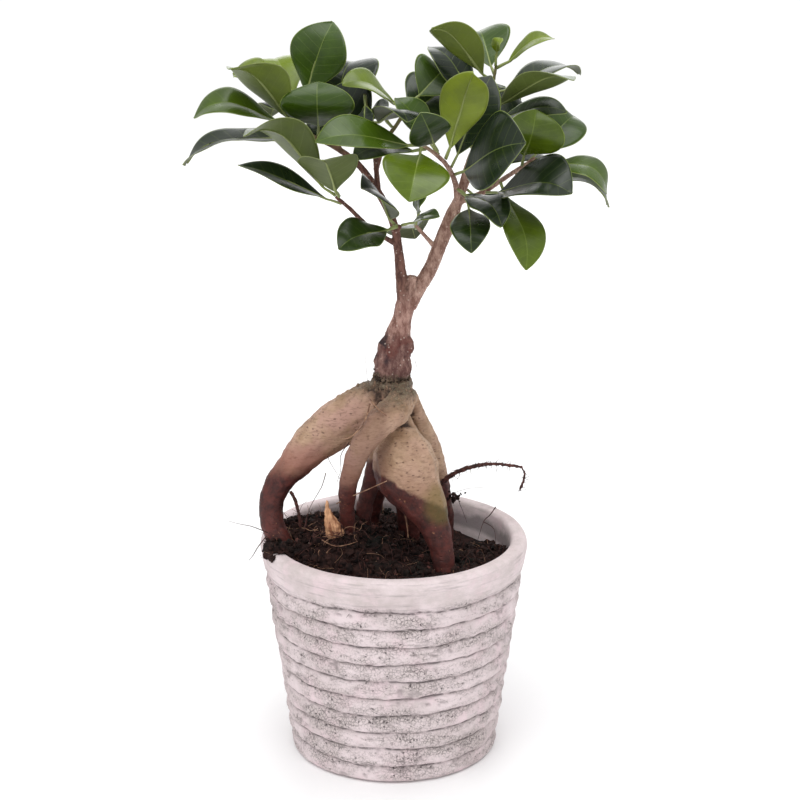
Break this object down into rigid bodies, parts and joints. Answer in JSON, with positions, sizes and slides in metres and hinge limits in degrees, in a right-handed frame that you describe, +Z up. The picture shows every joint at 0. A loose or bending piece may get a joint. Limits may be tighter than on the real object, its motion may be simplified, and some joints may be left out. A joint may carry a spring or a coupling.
{
  "type": "potted bonsai tree",
  "caption": "Grafted fig bonsai with a swollen, arching rootstock and glossy oval leaves, growing in a ribbed, weathered cement pot.",
  "frame": {"origin": "centre of the pot's flat foot, on the surface that it stands on", "axes": "+Z up the trunk, -Y towards the side with the bulbous front root, +X towards the taller branch"},
  "size_m": [0.1981, 0.13, 0.3574],
  "materials": {
    "pot_cement": "matte",
    "peat_soil": "matte",
    "root_bark": "matte",
    "stem_bark": "matte",
    "fine_root": "matte",
    "dry_husk": "matte",
    "leaf": "satin"
  },
  "bodies": {
    "root": {"pot": "pot_cement", "rootstock": "root_bark", "stray_root": "fine_root", "hanging_root": "fine_root", "grafted_trunk": "stem_bark", "leaf_left_crown_1": "leaf", "leaf_left_crown_2": "leaf", "leaf_left_crown_3": "leaf", "leaf_left_crown_4": "leaf", "leaf_left_back_1": "leaf", "leaf_left_back_2": "leaf", "leaf_left_back_3": "leaf", "leaf_left_back_4": "leaf", "leaf_left_back_5": "leaf", "leaf_left_twig_1": "leaf", "leaf_left_twig_2": "leaf", "leaf_left_twig_3": "leaf", "leaf_left_whorl_1": "leaf", "leaf_left_whorl_2": "leaf", "leaf_left_whorl_3": "leaf", "leaf_centre_1": "leaf", "leaf_centre_2": "leaf", "leaf_centre_3": "leaf", "leaf_centre_back_1": "leaf", "leaf_centre_back_2": "leaf", "leaf_centre_back_3": "leaf", "leaf_centre_back_4": "leaf", "leaf_front_1": "leaf", "leaf_front_2": "leaf", "leaf_front_3": "leaf", "leaf_front_4": "leaf", "leaf_front_5": "leaf", "leaf_front_6": "leaf", "leaf_front_7": "leaf", "leaf_front_8": "leaf", "leaf_front_9": "leaf", "leaf_inner_twig_1": "leaf", "leaf_inner_twig_2": "leaf", "leaf_right_top_1": "leaf", "leaf_right_top_2": "leaf", "leaf_right_top_3": "leaf", "leaf_right_top_4": "leaf", "leaf_right_top_5": "leaf", "leaf_right_top_6": "leaf", "leaf_right_top_7": "leaf", "leaf_right_top_8": "leaf", "leaf_right_top_9": "leaf", "leaf_right_low_1": "leaf", "leaf_right_low_2": "leaf", "leaf_right_low_3": "leaf", "leaf_right_low_4": "leaf", "leaf_right_low_5": "leaf", "leaf_right_low_6": "leaf", "leaf_right_low_7": "leaf", "leaf_back_1": "leaf", "leaf_back_2": "leaf", "leaf_back_3": "leaf", "leaf_back_4": "leaf", "dry_husk": "dry_husk", "soil": "peat_soil"}
  },
  "joints": []
}
